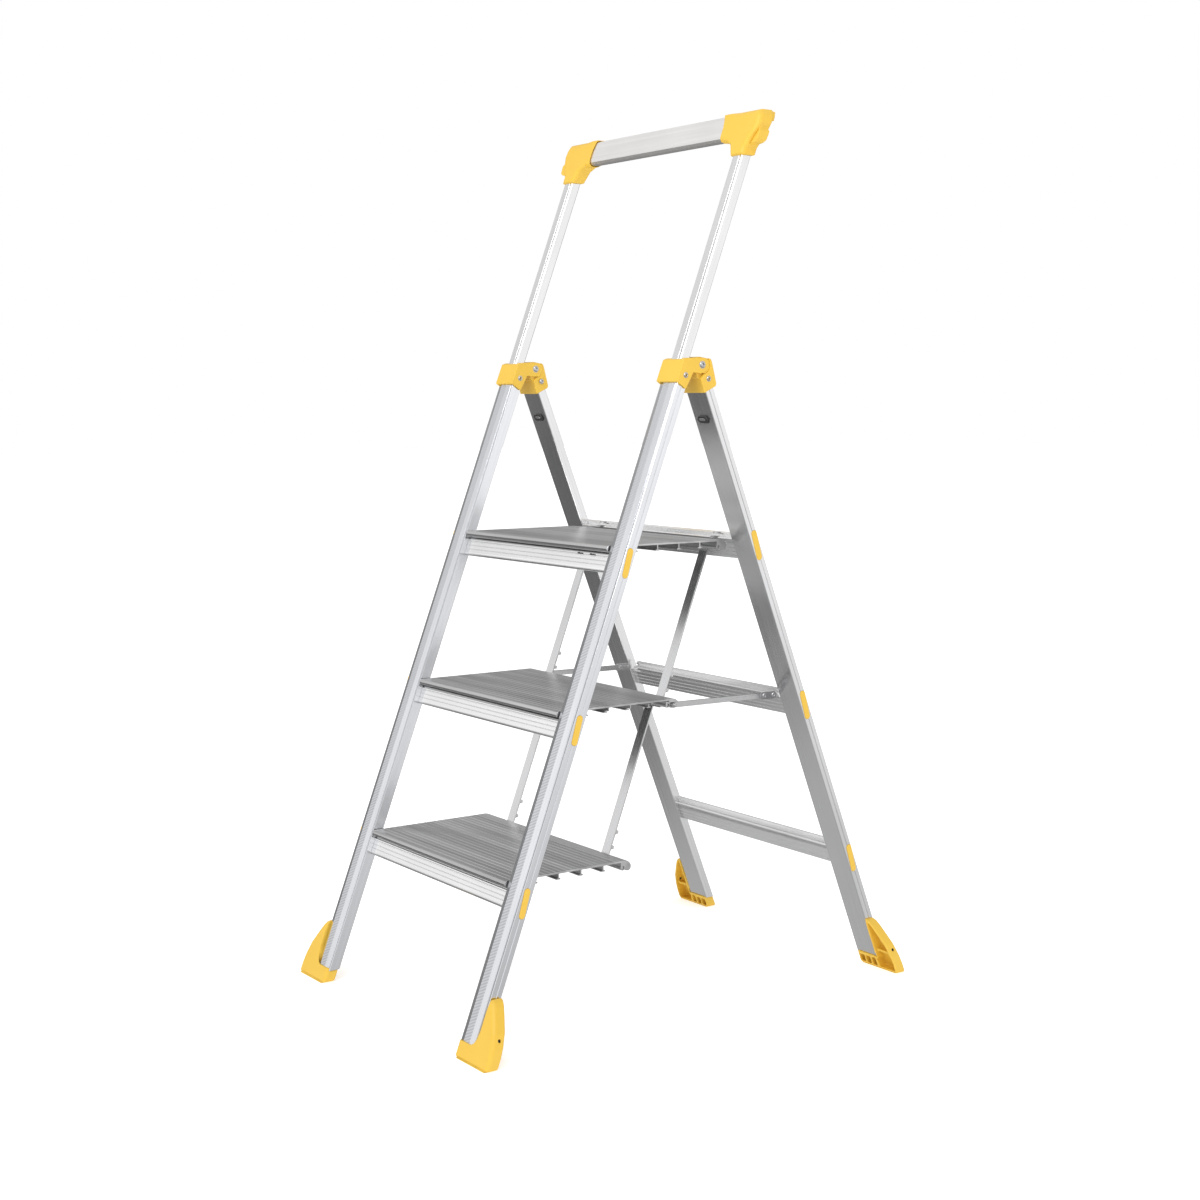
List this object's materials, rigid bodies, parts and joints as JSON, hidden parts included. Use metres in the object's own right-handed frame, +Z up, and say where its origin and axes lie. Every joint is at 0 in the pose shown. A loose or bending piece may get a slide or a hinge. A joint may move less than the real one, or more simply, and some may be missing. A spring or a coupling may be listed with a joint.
{
  "type": "folding step stool",
  "caption": "Folding aluminium step stool with ribbed flat treads, a hinged rear frame, splayed plastic feet and a raised hand bar.",
  "frame": {"origin": "middle of the footprint, on the floor", "axes": "+X to the right of a person climbing, +Y from the treads' front towards the rear frame, +Z up"},
  "size_m": [0.5836, 0.8144, 1.3705],
  "materials": {
    "aluminium": "satin extruded",
    "tread_aluminium": "ribbed extruded",
    "steel": "plain",
    "yellow_plastic": "fine moulded",
    "dark_plastic": "moulded"
  },
  "bodies": {
    "front_frame": {"rail_front_left": "aluminium", "rail_front_right": "aluminium", "plug_front_top_left": "yellow_plastic", "plug_front_top_right": "yellow_plastic", "plug_front_mid_left": "yellow_plastic", "plug_front_mid_right": "yellow_plastic", "plug_front_bottom_left": "yellow_plastic", "plug_front_bottom_right": "yellow_plastic", "crossbar_front_top": "aluminium", "crossbar_front_mid": "aluminium", "crossbar_front_bottom": "aluminium", "hinge_rod_top": "steel", "hinge_rod_mid": "steel", "hinge_rod_bottom": "steel", "hand_bar": "aluminium", "hand_tube_left": "aluminium", "hand_tube_right": "aluminium", "hand_corner_left": "yellow_plastic", "hand_corner_right": "yellow_plastic", "bracket_front_left": "yellow_plastic", "bracket_front_right": "yellow_plastic", "foot_front_left": "yellow_plastic", "foot_front_right": "yellow_plastic", "pivot_pin_left": "steel", "pivot_pin_right": "steel"},
    "rear_frame": {"rail_rear_left": "aluminium", "rail_rear_right": "aluminium", "plug_rear_top_left": "yellow_plastic", "plug_rear_top_right": "yellow_plastic", "plug_rear_mid_left": "yellow_plastic", "plug_rear_mid_right": "yellow_plastic", "plug_rear_bottom_left": "yellow_plastic", "plug_rear_bottom_right": "yellow_plastic", "crossbar_rear_top": "aluminium", "crossbar_rear_mid": "aluminium", "crossbar_rear_bottom": "aluminium", "bracket_rear_left": "yellow_plastic", "bracket_rear_right": "yellow_plastic", "foot_rear_left": "yellow_plastic", "foot_rear_right": "yellow_plastic", "clip_left": "dark_plastic", "clip_right": "dark_plastic"},
    "step_top": {"tread_top": "tread_aluminium", "link_rod_top": "steel"},
    "step_mid": {"tread_mid": "tread_aluminium", "link_rod_mid": "steel", "spreader_pin_left": "steel", "spreader_pin_right": "steel"},
    "step_bottom": {"tread_bottom": "tread_aluminium", "link_rod_bottom": "steel"},
    "link_lower_left_bar": {"link_lower_left": "aluminium"},
    "link_lower_right_bar": {"link_lower_right": "aluminium"},
    "link_upper_left_bar": {"link_upper_left": "aluminium"},
    "link_upper_right_bar": {"link_upper_right": "aluminium"},
    "spreader_left_bar": {"spreader_left": "steel"},
    "spreader_right_bar": {"spreader_right": "steel"}
  },
  "joints": [
    {"name": "rear_frame_fold", "type": "hinge", "parent": "front_frame", "child": "rear_frame", "pos_m": [0, 0.0043, 0.9885], "axis": [-1, 0, 0], "range_deg": [0, 42.4]},
    {"name": "tread_top_hinge", "type": "hinge", "parent": "front_frame", "child": "step_top", "pos_m": [0, -0.12206, 0.707], "axis": [1, 0, 0], "range_deg": [0, 69.27]},
    {"name": "tread_mid_hinge", "type": "hinge", "parent": "front_frame", "child": "step_mid", "pos_m": [0, -0.21295, 0.467], "axis": [1, 0, 0], "range_deg": [0, 69.27]},
    {"name": "tread_bottom_hinge", "type": "hinge", "parent": "front_frame", "child": "step_bottom", "pos_m": [0, -0.30384, 0.227], "axis": [1, 0, 0], "range_deg": [0, 69.27]},
    {"name": "link_lower_left_pivot", "type": "hinge", "parent": "step_bottom", "child": "link_lower_left_bar", "pos_m": [0, -0.10396, 0.231], "axis": [-1, 0, 0], "range_deg": [0, 69.27]},
    {"name": "link_lower_right_pivot", "type": "hinge", "parent": "step_bottom", "child": "link_lower_right_bar", "pos_m": [0, -0.10396, 0.231], "axis": [-1, 0, 0], "range_deg": [0, 69.27]},
    {"name": "link_upper_left_pivot", "type": "hinge", "parent": "step_mid", "child": "link_upper_left_bar", "pos_m": [0, -0.01307, 0.471], "axis": [-1, 0, 0], "range_deg": [0, 69.27]},
    {"name": "link_upper_right_pivot", "type": "hinge", "parent": "step_mid", "child": "link_upper_right_bar", "pos_m": [0, -0.01307, 0.471], "axis": [-1, 0, 0], "range_deg": [0, 69.27]},
    {"name": "spreader_left_pivot", "type": "hinge", "parent": "step_mid", "child": "spreader_left_bar", "pos_m": [0, -0.00357, 0.4712], "axis": [-1, 0, 0], "range_deg": [0, 177.22]},
    {"name": "spreader_right_pivot", "type": "hinge", "parent": "step_mid", "child": "spreader_right_bar", "pos_m": [0, -0.00357, 0.4712], "axis": [-1, 0, 0], "range_deg": [0, 177.22]}
  ],
  "couplings": [
    {"joint": "tread_top_hinge", "follows": "rear_frame_fold", "ratio": 1.6335},
    {"joint": "tread_mid_hinge", "follows": "rear_frame_fold", "ratio": 1.6335},
    {"joint": "tread_bottom_hinge", "follows": "rear_frame_fold", "ratio": 1.6335},
    {"joint": "link_lower_left_pivot", "follows": "rear_frame_fold", "ratio": 1.6335},
    {"joint": "link_lower_right_pivot", "follows": "rear_frame_fold", "ratio": 1.6335},
    {"joint": "link_upper_left_pivot", "follows": "rear_frame_fold", "ratio": 1.6335},
    {"joint": "link_upper_right_pivot", "follows": "rear_frame_fold", "ratio": 1.6335},
    {"joint": "spreader_left_pivot", "follows": "rear_frame_fold", "ratio": 4.1793},
    {"joint": "spreader_right_pivot", "follows": "rear_frame_fold", "ratio": 4.1793}
  ]
}
